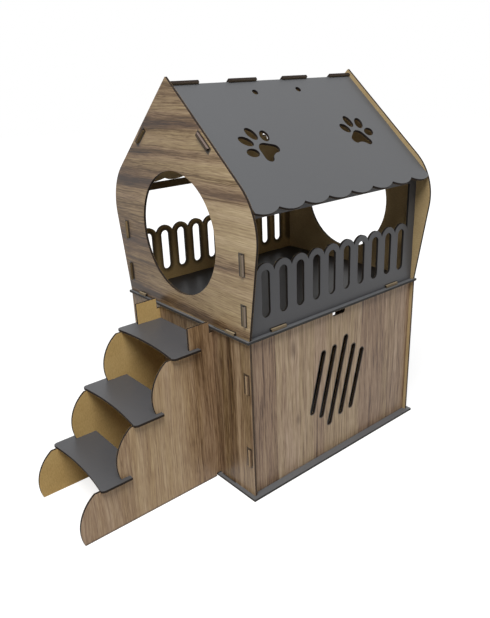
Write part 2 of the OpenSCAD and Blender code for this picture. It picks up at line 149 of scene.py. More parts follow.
class Graph:
    """The node tree of one material, or of the world."""

    def __init__(self, owner: bpy.types.Material | bpy.types.World) -> None:
        """Empties the owner's node tree down to its output node.

        Args:
            owner: The material or the world.
        """
        owner.use_nodes = True
        self.tree = owner.node_tree
        for node in list(self.tree.nodes):
            if not node.type.startswith("OUTPUT"):
                self.tree.nodes.remove(node)
        self.output = self.tree.nodes[0]

    def add(
        self,
        kind: str,
        settings: dict[str, Any] | None = None,
        sockets: dict[int | str, Any] | None = None,
        output: int | str = 0,
    ) -> Value:
        """Adds one node.

        Args:
            kind: The node's type.
            settings: The node's properties, with a ramp's colours under "stops" and its joint under "joint".
            sockets: Values or plain numbers for its inputs, by name or place.
            output: Name or place of the output that is wanted.

        Returns:
            The wanted output.
        """
        node = self.tree.nodes.new(kind)
        for name, setting in (settings or {}).items():
            if name == "stops":
                self.set_stops(node.color_ramp, setting)
            elif name == "joint":
                node.color_ramp.interpolation = setting
            else:
                setattr(node, name, setting)
        for name, source in (sockets or {}).items():
            if isinstance(source, Value):
                self.tree.links.new(source.socket, node.inputs[name])
            else:
                node.inputs[name].default_value = source
        return Value(self, node.outputs[output])

    def show(self, shader: Value) -> None:
        """Sends a shader to the tree's output."""
        self.tree.links.new(shader.socket, self.output.inputs["Surface"])

    @staticmethod
    def set_stops(ramp: bpy.types.ColorRamp, stops: Stops) -> None:
        """Fills a colour ramp.

        Args:
            ramp: The ramp of a node just added, which has two stops.
            stops: Place from 0 to 1 and colour of each stop, in order.
        """
        for index, (place, colour) in enumerate(stops):
            stop = ramp.elements[index] if index < 2 else ramp.elements.new(1.0)
            stop.position, stop.color = place, colour

    def maths(self, operation: str, *numbers: Number) -> Value:
        """Adds one Math node for an operation on up to three numbers."""
        return self.add("ShaderNodeMath", {"operation": operation}, dict(enumerate(numbers)))

    def dot(self, point: Value, axis: Axis) -> Value:
        """Gives how far a point lies along an axis."""
        return self.add("ShaderNodeVectorMath", {"operation": "DOT_PRODUCT"}, {0: point, 1: axis}, "Value")

    def noise(self, point: Value, scale: float, detail: float = 2.0, roughness: float = 0.5) -> Value:
        """Adds cloudy noise about 0, from -0.5 to 0.5, with a number of finer layers of some roughness."""
        sockets = {"Vector": point, "Scale": scale, "Detail": detail, "Roughness": roughness}
        return self.add("ShaderNodeTexNoise", {}, sockets) - 0.5

    def step(self, value: Value, low: float, high: float) -> Value:
        """Rises smoothly from 0 at low to 1 at high."""
        return self.add("ShaderNodeMapRange", {"interpolation_type": "SMOOTHSTEP"}, {0: value, 1: low, 2: high})

    def mix(self, share: Number, first: Any, second: Any) -> Value:
        """Blends two colours, the second one by a share."""
        return self.add("ShaderNodeMix", {"data_type": "RGBA"}, {0: share, 6: first, 7: second}, 2)

    def blend(self, share: Value, first: Number, second: Number) -> Value:
        """Blends two numbers, the second one by a share."""
        return self.add("ShaderNodeMix", {"data_type": "FLOAT"}, {0: share, 2: first, 3: second})

    def ramp(self, place: Value, stops: Stops, joint: str = "LINEAR") -> Value:
        """Looks a place from 0 to 1 up in a row of colours."""
        return self.add("ShaderNodeValToRGB", {"stops": stops, "joint": joint}, {0: place})

    def seen(self) -> Value:
        """Tells what is looked at from what only lights.

        Returns:
            1 for what is seen straight, in a reflection or through glass, and 0 for other light.
        """
        rays = self.add("ShaderNodeLightPath", output="Is Camera Ray")
        outputs = rays.socket.node.outputs
        both = Value(self, outputs["Is Glossy Ray"]) + Value(self, outputs["Is Transmission Ray"])
        return self.maths("MINIMUM", rays + both, 1.0)


class BoardGraph(Graph):
    """The node tree of one board's material, with the coordinates that its finishes share.

    Attributes:
        point: The place on the surface.
        folded: The place with its signs dropped, for what is the same left and right, front and back.
        flat: The place moved into the laminated face.
        along: Distance along the film's grain.
        across: Distance across the film's grain.
        depth: Distance in from the laminated face.
    """

    def __init__(self, material: bpy.types.Material, board: "Board") -> None:
        """Sets the coordinates up.

        Args:
            material: The board's new material.
            board: The board.
        """
        super().__init__(material)
        facing = board.facing.value
        normal, grain = Vector(facing), Vector(board.grain.value)
        outer = max(normal.dot(vertex.co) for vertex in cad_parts[board.node].data.vertices)
        self.point = self.add("ShaderNodeTexCoord", output="Object")
        self.folded = self.add("ShaderNodeVectorMath", {"operation": "ABSOLUTE"}, {0: self.point})
        self.depth = outer - self.dot(self.point, facing)
        back = self.add("ShaderNodeVectorMath", {"operation": "SCALE"}, {0: facing, "Scale": self.depth})
        self.flat = self.add("ShaderNodeVectorMath", {"operation": "ADD"}, {0: self.point, 1: back})
        self.along = self.dot(self.point, tuple(grain))
        self.across = self.dot(self.point, tuple(grain.cross(normal)))


def weighed(weights: tuple[float, ...], *layers: Value) -> Value:
    """Adds layers up by their weights, with the last weight, which has no layer, as it is."""
    return sum((layer * weight for layer, weight in zip(layers, weights)), weights[-1])


@dataclass
class Coat:
    """What a finish gives to the shader.

    Attributes:
        colour: Base colour.
        roughness: Roughness of the surface.
        height: Relief, in millimetres.
    """

    colour: Value
    roughness: Number
    height: Number


@dataclass(frozen=True)
class Layer:
    """A layer of noise that is drawn out along the film's grain.

    Attributes:
        along: Its clouds to a metre along the grain.
        across: Its clouds to a metre across the grain.
        offset: What it adds to a board's seed, so that layers differ.
        detail: Number of finer clouds in it.
        roughness: Strength of the finer clouds.
        weight: How strongly it works.
        spots: For a layer of spots, the noise at which a spot starts and at which it is full.
    """

    along: float
    across: float
    offset: float = 0.0
    detail: float = 2.0
    roughness: float = 0.5
    weight: float = 1.0
    spots: Pair | None = None

    def draw(self, graph: BoardGraph, across: Value, seed: Number) -> Value:
        """Draws the layer.

        Args:
            graph: The board's graph.
            across: Distance across the grain, with the grain's wander.
            seed: Picks the part of the noise.

        Returns:
            A number about 0, from -0.5 to 0.5, or for spots one from 0 to 1.
        """
        sockets = {0: graph.along * self.along, 1: across * self.across, 2: seed + self.offset}
        point = graph.add("ShaderNodeCombineXYZ", {}, sockets)
        noise = graph.noise(point, 1.0, self.detail, self.roughness)
        return graph.step(noise, *self.spots) if self.spots else noise


@dataclass(frozen=True)
class Stripe:
    """A stripe of the walnut print.

    Attributes:
        start: Where it starts, across the grain.
        tone: How much lighter it is than the middle shade.
        mauve: How far its hue goes from tan to mauve.
    """

    start: float
    tone: float
    mauve: float


def striped(*rows: tuple[float, float, float]) -> tuple[Stripe, ...]:
    """Makes stripes from the start, tone and mauve of each."""
    return tuple(Stripe(*row) for row in rows)


def turned(stripes: tuple[Stripe, ...]) -> tuple[Stripe, ...]:
    """Turns stripes round, for the opposite board, on which distances count the other way."""
    return tuple(Stripe(-stripe.start, stripe.tone, stripe.mauve) for stripe in reversed(stripes))


@dataclass(frozen=True)
class Knot:
    """A knot in the walnut print, which draws the grain in.

    Attributes:
        along: Its place along the grain.
        across: Its place across the grain.
        size: Its radius across the grain.
        stretch: How much shorter a distance along the grain counts.
        pull: How strongly it draws the grain in.
        falloff: What is left of the pull one radius away.
        fade: Radii between which its shade ends.
        shade: Strength of its shade.
    """

    along: float
    across: float
    size: float
    stretch: float = 0.38
    pull: float = 0.75
    falloff: float = 0.55
    fade: Pair = (0.1, 1.2)
    shade: float = 0.5

    def draw(self, graph: BoardGraph) -> tuple[Value, Value]:
        """Draws the knot.

        Args:
            graph: The board's graph.

        Returns:
            How far the grain is drawn aside, and the strength of the shade.
        """
        aside = graph.across - self.across
        reach = (graph.along - self.along) * self.stretch
        far = graph.maths("SQRT", aside * aside + reach * reach) * (1 / self.size)
        drawn = aside * graph.maths("POWER", self.falloff, far * far) * self.pull
        return drawn, (1 - graph.step(far, *self.fade)) * self.shade


@dataclass(frozen=True)
class Slot:
    """A cut slot with a dark rim of scorch and painted shade, placed on folded coordinates.

    Attributes:
        axes: The two axes that it is measured along.
        centre: Its middle along them.
        half: Half its size along them.
        pitch: Spacing of a pair of such slots along the second axis, or 0 for a single one.
        fade: Distances from the slot between which its rim ends.
    """

    axes: tuple[Axis, Axis]
    centre: Pair
    half: Pair
    pitch: float = 0.0
    fade: Pair = (1.5 * MM, 3 * MM)

    def rim(self, graph: BoardGraph) -> Value:
        """Draws the rim of scorch and painted shade.

        Args:
            graph: The board's graph.

        Returns:
            1 on the rim and 0 away from it.
        """
        first = abs(graph.dot(graph.folded, self.axes[0]) - self.centre[0]) - self.half[0]
        second = abs(graph.dot(graph.folded, self.axes[1]) - self.centre[1])
        second = (abs(second - self.pitch / 2) if self.pitch else second) - self.half[1]
        return 1 - graph.step(graph.maths("MAXIMUM", first, second), *self.fade)


@dataclass(frozen=True)
class Vents:
    """The leaning ventilation slots of the front panel, with scorched rims.

    Attributes:
        lean: Their lean to the right.
        pitch: Their spacing.
        half_lengths: Half of each one's length between its end centres, from the middle one outwards.
        fade: Distances from a slot's middle line between which its rim ends.
    """

    lean: float = math.radians(14.4)
    pitch: float = 30.4 * MM
    half_lengths: tuple[float, ...] = (93 * MM, 72.5 * MM, 62.3 * MM)
    fade: Pair = (7.2 * MM, 8.6 * MM)

    def rim(self, graph: BoardGraph) -> Value:
        """Draws the scorched rims.

        Args:
            graph: The board's graph.

        Returns:
            1 on the rims and 0 away from them.
        """
        turn, rise = math.sin(self.lean), math.cos(self.lean)
        aside = abs(graph.dot(graph.point, (rise, 0.0, -turn)) + ROOM_Z * turn)
        along = abs(graph.dot(graph.point, (turn, 0.0, rise)) - ROOM_Z * rise)
        nearest: Number = 1.0
        for index, half in enumerate(self.half_lengths):
            past = graph.maths("MAXIMUM", along - half, 0.0)
            beside = aside - index * self.pitch
            nearest = graph.maths("MINIMUM", nearest, graph.maths("SQRT", past * past + beside * beside))
        return 1 - graph.step(nearest, *self.fade)


@dataclass(frozen=True)
class Border:
    """Smoky marks and painted shade along a straight-sided panel's cut edges, placed on folded coordinates.

    Attributes:
        axes: The two axes that the panel is measured along.
        centre: Its middle along them.
        half: Half its size along them.
        strength: How dark the marks and the shade are at the edges.
        reach: How far in from the edges it goes.
    """

    axes: tuple[Axis, Axis]
    centre: Pair
    half: Pair
    strength: float
    reach: float = 5 * MM

    def stain_and_shade(self, graph: BoardGraph) -> Value:
        """Draws the smoky marks and the painted shade.

        Args:
            graph: The board's graph.

        Returns:
            Its strength.
        """
        sides = zip(self.axes, self.centre, self.half)
        past = graph.maths("MAXIMUM", *(abs(graph.dot(graph.folded, axis) - at) - half for axis, at, half in sides))
        return graph.step(past, -self.reach, 0.0) * self.strength


@dataclass(frozen=True)
class SmokeAndShade:
    """Painted shade with smoky marks on the upper part of a panel's inner face, where the roof shades it.

    Attributes:
        levels: Heights between which it begins.
        strength: How dark it is.
        tint: The colour of the smoky marks and the painted shade.
    """

    levels: Pair
    strength: float
    tint: Rgb

    def stain_and_shade(self, graph: BoardGraph) -> Value:
        """Gives the strength of the smoky marks and the painted shade."""
        return graph.step(graph.dot(graph.point, ALONG_Z), *self.levels) * self.strength


@dataclass(frozen=True)
class FenceSmokeAndShade(SmokeAndShade):
    """Painted shade and smoky marks on a railing's top rail, under the roof, and round the slots of its arches.

    Attributes:
        pitch: Spacing of the arches.
        slot_z: Heights of the lower and upper end centres of an arch's slot.
        slot_r: Half the width of a slot.
        fade: Distances from a slot between which the marks and the shade end.
    """

    pitch: float = 42.6 * MM
    slot_z: Pair = (372.3 * MM, 440.8 * MM)
    slot_r: float = 10 * MM
    fade: Pair = (1 * MM, 11 * MM)

    def stain_and_shade(self, graph: BoardGraph) -> Value:
        """Draws the smoky marks and the painted shade.

        Args:
            graph: The board's graph.

        Returns:
            Its strength, highest at the slots' edges and on the rail.
        """
        high = graph.dot(graph.point, ALONG_Z)
        turns = graph.maths("FRACT", graph.dot(graph.point, ALONG_X) * (1 / self.pitch))
        aside = (turns - 0.5) * self.pitch
        past = graph.maths("MAXIMUM", self.slot_z[0] - high, high - self.slot_z[1])
        past = graph.maths("MAXIMUM", past, 0.0)
        far = graph.maths("SQRT", aside * aside + past * past) - self.slot_r
        fence = 1 - graph.step(far, *self.fade)
        return graph.maths("MAXIMUM", fence * self.strength, super().stain_and_shade(graph))


@dataclass(frozen=True)
class WalnutPrint:
    """Walnut-print film: broad figure, grain lines, pores and knots in stripes of different tone.

    Attributes:
        tan: Shades of tan wood, from dark to light.
        mauve: Shades of mauve wood, from dark to light.
        knot_colour: Colour of a knot.
        sheen: Roughness of the film.
        dull: How much rougher it is on the lines.
        relief: Height of the lines and depth of the pores, in millimetres.
        stripe_shift: How far the pattern jumps from stripe to stripe, to a unit of tone.
        hue_figure: How far the figure changes the hue.
        ring_lift: Added to the rings for what the dashes take away.
        tone_lift: Added to the tone for what the pores take away.
        sway: Slow wander of the grain.
        ripple: Quick wander of the grain.
        figure: Broad light and dark patches.
        bands: Bands of some millimetres.
        rings: Growth rings.
        lines: Grain lines.
        dashes: Dark dashes in the rings.
        fine: Finest grain.
        pores: Open pores.
    """

    tan: tuple[Rgb, ...] = ((52, 36, 20), (107, 83, 54), (158, 135, 100), (189, 167, 128), (215, 196, 158))
    mauve: tuple[Rgb, ...] = ((54, 38, 29), (107, 82, 65), (155, 128, 104), (183, 158, 133), (208, 186, 160))
    knot_colour: Rgb = (72, 52, 38)
    sheen: float = 0.44
    dull: float = 0.2
    relief: Pair = (0.02, 0.03)
    stripe_shift: float = 9.0
    hue_figure: float = 1.2
    ring_lift: float = 0.1
    tone_lift: float = 0.03
    sway: Layer = Layer(2.4, 6.0, weight=0.022)
    ripple: Layer = Layer(16.0, 45.0, 3.0, 1.0, weight=0.004)
    figure: Layer = Layer(1.6, 26.0)
    bands: Layer = Layer(4.0, 70.0, 5.0, 2.0, 0.55, 0.2)
    rings: Layer = Layer(6.0, 205.0, 9.0, 3.0, 0.6)
    lines: Layer = Layer(7.0, 320.0, 0.0, 3.0, 0.65, 0.6)
    dashes: Layer = Layer(10.0, 390.0, 2.0, weight=0.34, spots=(0.04, 0.16))
    fine: Layer = Layer(34.0, 560.0, 0.0, 2.0, 0.6, 0.6)
    pores: Layer = Layer(45.0, 900.0, 0.0, 1.0, weight=0.12, spots=(0.08, 0.2))

    def shades(self, graph: Graph, tone: Value, colours: tuple[Rgb, ...]) -> Value:
        """Turns a tone into one of a row of colours, from dark to light."""
        last = len(colours) - 1
        return graph.ramp(tone, [(index / last, linear(colour)) for index, colour in enumerate(colours)])

    def stripes(self, graph: Graph, across: Value, board: "Board") -> tuple[Value, Value]:
        """Looks up the stripe at a place.

        Args:
            graph: The board's graph.
            across: Place across the grain.
            board: The board with its stripes.

        Returns:
            The stripe's tone, 0.5 for the middle one, and its share of mauve.
        """
        low, high = board.stripes[0].start, board.stripes[-1].start
        stops = [((s.start - low) / (high - low), (0.5 + s.tone, s.mauve, 0.0, 1.0)) for s in board.stripes]
        place = graph.add("ShaderNodeMapRange", {}, {0: across, 1: low, 2: high})
        channels = graph.add("ShaderNodeSeparateColor", {}, {0: graph.ramp(place, stops, board.joint.value)})
        return channels, Value(graph, channels.socket.node.outputs[1])

    def coat(self, graph: BoardGraph, board: "Board") -> Coat:
        """Paints the film.

        Args:
            graph: The board's graph.
            board: The board that is painted.

        Returns:
            The film's coat.
        """
        bent = graph.across
        for layer in (self.sway, self.ripple):
            bent = bent + layer.draw(graph, graph.across, board.seed) * layer.weight
        knots: Number = 0.0
        for knot in board.knots:
            drawn, shade = knot.draw(graph)
            bent, knots = bent - drawn, shade + knots
        tone, mauve = self.stripes(graph, graph.across if board.joint is Joint.HARD else bent, board)
        shift = tone * self.stripe_shift + board.seed
        layers = (self.figure, self.bands, self.rings, self.lines, self.dashes, self.fine, self.pores)
        figure, bands, rings, lines, dashes, fine, pores = (layer.draw(graph, bent, shift) for layer in layers)
        tone = tone + graph.along * board.drift + figure * board.figure
        tone = tone + (rings - dashes * self.dashes.weight + self.ring_lift) * board.rings
        tone = tone + bands * self.bands.weight + lines * self.lines.weight + fine * self.fine.weight
        tone = tone - pores * self.pores.weight + self.tone_lift
        hue = mauve + figure * self.hue_figure + bands
        wood = graph.mix(hue, self.shades(graph, tone, self.tan), self.shades(graph, tone, self.mauve))
        if board.knots:
            wood = graph.mix(knots, wood, linear(self.knot_colour))
        return Coat(wood, self.sheen + lines * self.dull, lines * self.relief[0] - pores * self.relief[1])


@dataclass(frozen=True)
class GreyFilm:
    """Plain dark grey film with a faint emboss along the board.

    Attributes:
        colour: Its colour.
        worn: Its colour where it is worn paler.
        sheen: Its roughness.
        dull: How much its roughness changes from place to place.
        cloud: Patches of wear to a metre.
        speck: Specks to a metre.
        brush: The emboss.
        weights: How much patches, emboss and specks change the wear, and the wear between them.
        relief: Height of the emboss and of the specks, in millimetres.
    """

    colour: Rgb = (80, 81, 83)
    worn: Rgb = (89, 90, 92)
    sheen: float = 0.46
    dull: float = 0.2
    cloud: float = 9.0
    speck: float = 900.0
    brush: Layer = Layer(30.0, 520.0)
    weights: tuple[float, ...] = (0.5, 0.3, 0.3, 0.25)
    relief: Pair = (0.015, 0.02)

    def coat(self, graph: BoardGraph, board: "Board") -> Coat:
        """Paints the film.

        Args:
            graph: The board's graph.
            board: The board that is painted.

        Returns:
            The film's coat.
        """
        cloud = graph.noise(graph.point, self.cloud, detail=3.0)
        brush = self.brush.draw(graph, graph.across, board.seed)
        speck = graph.noise(graph.point, self.speck, detail=1.0)
        grey = graph.mix(weighed(self.weights, cloud, brush, speck), linear(self.colour), linear(self.worn))
        return Coat(grey, self.sheen + cloud * self.dull, brush * self.relief[0] + speck * self.relief[1])


@dataclass(frozen=True)
class BareBoard:
    """Bare fibreboard: pressed yellow-brown fibres with darker and paler flecks.

    Attributes:
        dark: Colour of the darker flecks.
        middle: Colour of most of it.
        pale: Colour of the paler flecks.
        blotch: Blotches to a metre.
        fleck: Flecks to a metre.
        fibre: The fibres.
        weights: How much blotches, fibres and flecks change the colour, and the colour between them.
        relief: Height of the fibres, in millimetres.
        roughness: Its roughness.
    """

    dark: Rgb = (149, 121, 78)
    middle: Rgb = (179, 151, 102)
    pale: Rgb = (199, 174, 127)
    blotch: float = 11.0
    fleck: float = 1300.0
    fibre: Layer = Layer(170.0, 420.0, 1.0, 4.0, 0.65)
    weights: tuple[float, ...] = (0.5, 0.6, 0.3, 0.5)
    relief: float = 0.04
    roughness: float = 0.8

    def coat(self, graph: BoardGraph) -> Coat:
        """Paints the bare face.

        Args:
            graph: The board's graph.

        Returns:
            The face's coat.
        """
        blotch = graph.noise(graph.point, self.blotch, detail=3.0, roughness=0.6)
        fibre = self.fibre.draw(graph, graph.across, 0.0)
        fleck = graph.noise(graph.point, self.fleck)
        stops = [(0.2, linear(self.dark)), (0.5, linear(self.middle)), (0.8, linear(self.pale))]
        colour = graph.ramp(weighed(self.weights, blotch, fibre, fleck), stops)
        return Coat(colour, self.roughness, fibre * self.relief)


@dataclass(frozen=True)
class ScorchedEdge:
    """Edge charred by the cutting, with streaks through the board; cutting marks and painted shade by tabs and slots.

    Attributes:
        char: Colour of the darkest streaks, and of slot rims, where it is painted shade as well.
        brown: Colour of the palest streaks.
        tab: Colour of a tab's end.
        stain_and_shade: Colour of the smoky marks and painted shade along a panel's edges.
        stub: Colour on the bare face of a tab that stands out.
        stub_film: Colour on the film of such a tab.
        rind: Depth over which a tab's end darkens towards both faces.
        rim: Strength of the slot rims.
        cover: How much of the film and of the bare face is hidden on a tab that stands out.
        patch: Patches to a metre.
        streak: Streaks to a metre.
        weights: How much patches and streaks change the colour, and the colour between them.
        tab_weights: How much patches change a tab's end, and how clean it is between them.
        relief: Height of the streaks, in millimetres.
        roughness: Roughness of the edge.
    """

    char: Rgb = (22, 17, 14)
    brown: Rgb = (50, 38, 29)
    tab: Rgb = (128, 114, 94)
    stain_and_shade: Rgb = (62, 45, 32)
    stub: Rgb = (92, 83, 74)
    stub_film: Rgb = (160, 145, 130)
    rind: float = 0.8 * MM
    rim: float = 0.9
    cover: Pair = (0.85, 0.5)
    patch: float = 45.0
    streak: float = 1500.0
    weights: tuple[float, ...] = (0.6, 0.6, 0.35)
    tab_weights: Pair = (0.6, 0.9)
    relief: float = 0.06
    roughness: float = 0.78

    def coat(self, graph: BoardGraph, board: "Board") -> Coat:
        """Paints the edge.

        Args:
            graph: The board's graph.
            board: The board with its tab ends.

        Returns:
            The edge's coat.
        """
        patch = graph.noise(graph.flat, self.patch)
        streak = graph.noise(graph.flat, self.streak)
        colour = graph.mix(weighed(self.weights, patch, streak), linear(self.char), linear(self.brown))
        core = graph.step(graph.depth, FILM_DEPTH, FILM_DEPTH + self.rind)
        core = core - graph.step(graph.depth, THICKNESS - FADE - self.rind, THICKNESS - FADE)
        for axis, reach in board.tab_ends:
            end = graph.maths("GREATER_THAN", graph.dot(graph.folded, axis), reach)
            colour = graph.mix(end * core * weighed(self.tab_weights, patch), colour, linear(self.tab))
        return Coat(colour, self.roughness, streak * self.relief)


@dataclass(frozen=True)
class Board:
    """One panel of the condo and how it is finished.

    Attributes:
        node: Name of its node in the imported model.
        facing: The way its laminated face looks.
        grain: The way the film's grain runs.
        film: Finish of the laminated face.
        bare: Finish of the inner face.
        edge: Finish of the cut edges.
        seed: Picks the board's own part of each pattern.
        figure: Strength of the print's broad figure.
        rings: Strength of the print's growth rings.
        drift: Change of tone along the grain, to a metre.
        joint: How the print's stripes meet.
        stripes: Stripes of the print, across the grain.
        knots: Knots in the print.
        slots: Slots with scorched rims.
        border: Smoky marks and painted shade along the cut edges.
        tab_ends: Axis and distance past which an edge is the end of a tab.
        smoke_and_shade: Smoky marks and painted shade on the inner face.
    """

    node: str
    facing: Facing
    grain: Grain
    film: WalnutPrint | GreyFilm
    bare: BareBoard
    edge: ScorchedEdge
    seed: float
    figure: float = 0.0
    rings: float = 0.0
    drift: float = 0.0
    joint: Joint = Joint.HARD
    stripes: tuple[Stripe, ...] = ()
    knots: tuple[Knot, ...] = ()
    slots: tuple[Slot | Vents, ...] = ()
    border: Border | None = None
    tab_ends: tuple[tuple[Axis, float], ...] = ()
    smoke_and_shade: SmokeAndShade | None = None

    def stained_and_shaded(self, graph: BoardGraph, face: Value, back: Value) -> tuple[Value, Value]:
        """Adds the cutting's marks and painted shade to both faces: along edges, round slots and high on the inner
        face.

        Args:
            graph: The board's graph.
            face: Colour of the clean laminated face.
            back: Colour of the clean inner face.

        Returns:
            The colours of the laminated and of the inner face.
        """
        edge = self.edge
        # Smoky marks along the edges, together with painted shade where the panel meets other parts.
        if self.border:
            face = graph.mix(self.border.stain_and_shade(graph), face, linear(edge.stain_and_shade))
        # Slot rims: scorch, together with the painted shade of the gap round a tab and of its shadow.
        for slot in self.slots:
            face = graph.mix(slot.rim(graph) * edge.rim, face, linear(edge.char))
        for axis, reach in self.tab_ends:
            out = graph.maths("GREATER_THAN", graph.dot(graph.folded, axis), reach - STUB)
            face = graph.mix(out * edge.cover[0], face, linear(edge.stub_film))
            back = graph.mix(out * edge.cover[1], back, linear(edge.stub))
        # Smoky marks with painted shade high on the inner face, where the roof shades it.
        if self.smoke_and_shade:
            back = graph.mix(self.smoke_and_shade.stain_and_shade(graph), back, linear(self.smoke_and_shade.tint))
        return face, back

    def dress(self) -> None:
        """Gives the node its material."""
        material = bpy.data.materials.new(self.node + "_board")
        graph = BoardGraph(material, self)
        film, inner, cut = self.film.coat(graph, self), self.bare.coat(graph), self.edge.coat(graph, self)
        on_film = 1 - graph.step(graph.depth, FILM_DEPTH, FILM_DEPTH + FADE)
        on_bare = graph.step(graph.depth, THICKNESS - 2 * FADE, THICKNESS - FADE)
        face, back = self.stained_and_shaded(graph, film.colour, inner.colour)
        colour = graph.mix(on_bare, graph.mix(on_film, cut.colour, face), back)
        roughness = graph.blend(on_bare, graph.blend(on_film, cut.roughness, film.roughness), inner.roughness)
        height = graph.blend(on_bare, graph.blend(on_film, cut.height, film.height), inner.height)
        bump = graph.add("ShaderNodeBump", {}, {"Strength": 0.5, "Distance": MM, "Height": height})
        sockets = {"Base Color": colour, "Roughness": roughness, "Normal": bump, "Specular IOR Level": 0.2}
        sockets.update({"Coat Weight": on_film * 0.25, "Coat Roughness": 0.35})
        graph.show(graph.add("ShaderNodeBsdfPrincipled", {}, sockets))
        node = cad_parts[self.node]
        node.data.materials.clear()
        node.data.materials.append(material)
        LOG.info("dressed %s", self.node)


WALNUT = WalnutPrint()
STAIR_WALNUT = WalnutPrint(tan=((54, 36, 20), (108, 81, 52), (159, 130, 94), (189, 163, 122), (214, 192, 150)))
# One grey film, painted as light and shade: lighter on the plates and darker on railings, treads and house floor.
ROOF_GREY = GreyFilm()
LIT_PLATE_GREY = GreyFilm((92, 93, 95), (102, 103, 105))
SHADED_RAILING_GREY = GreyFilm((77, 77, 79), (86, 86, 88))
SHADED_TREAD_GREY = GreyFilm((74, 74, 76), (83, 83, 85))
SHADED_FLOOR_GREY = GreyFilm((31, 31, 33), (38, 38, 40))
BARE = BareBoard()
PALE_BARE = BareBoard((146, 123, 86), (174, 151, 110), (193, 173, 134))
STAIR_BARE = BareBoard((163, 132, 80), (196, 164, 106), (216, 187, 132))
EDGE = ScorchedEdge()
RAILING_EDGE = ScorchedEdge(char=(20, 18, 17), brown=(38, 33, 29))
ROOF_EDGE = ScorchedEdge(tab=(82, 70, 58), stub_film=(122, 106, 99))
FLOOR_EDGE = ScorchedEdge(tab=(140, 124, 100), stub_film=(158, 141, 113))
PANEL_EDGE = ScorchedEdge(tab=(188, 162, 128), stub_film=(136, 112, 88))
WALL_EDGE = ScorchedEdge(char=(58, 46, 38), brown=(104, 88, 74))
PLATE_EDGE = ScorchedEdge(char=(50, 49, 49), brown=(72, 70, 68))
# Smoky marks together with painted shade on inner faces: under the ridge, on the railings' top rail and round their
# arches.
RIDGE_SMOKE_AND_SHADE = SmokeAndShade((751.5 * MM, 753.5 * MM), 0.9, (92, 83, 74))
FENCE_SMOKE_AND_SHADE = FenceSmokeAndShade((541.3 * MM, 543.3 * MM), 0.85, (84, 68, 44))


def lengthen_tabs(node: str, body: str, blocks: list[Block]) -> None:
    """Lengthens a dressed panel's tabs, so that they stand out of the panels that they go through.

    Args:
        node: The panel's node.
        body: The body that it belongs to.
        blocks: Middle and size of each added length.
    """
    shape = bmesh.new()
    for middle, size in blocks:
        bmesh.ops.create_cube(shape, size=1.0, matrix=Matrix.LocRotScale(middle, None, size))
    mesh = bpy.data.meshes.new(node + "_tabs")
    shape.to_mesh(mesh)
    shape.free()
    mesh.materials.append(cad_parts[node].data.materials[0])
    tabs = bpy.data.objects.new(node + "_tabs", mesh)
    bpy.context.scene.collection.objects.link(tabs)
    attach(tabs, body)
    LOG.info("lengthened the tabs of %s", node)


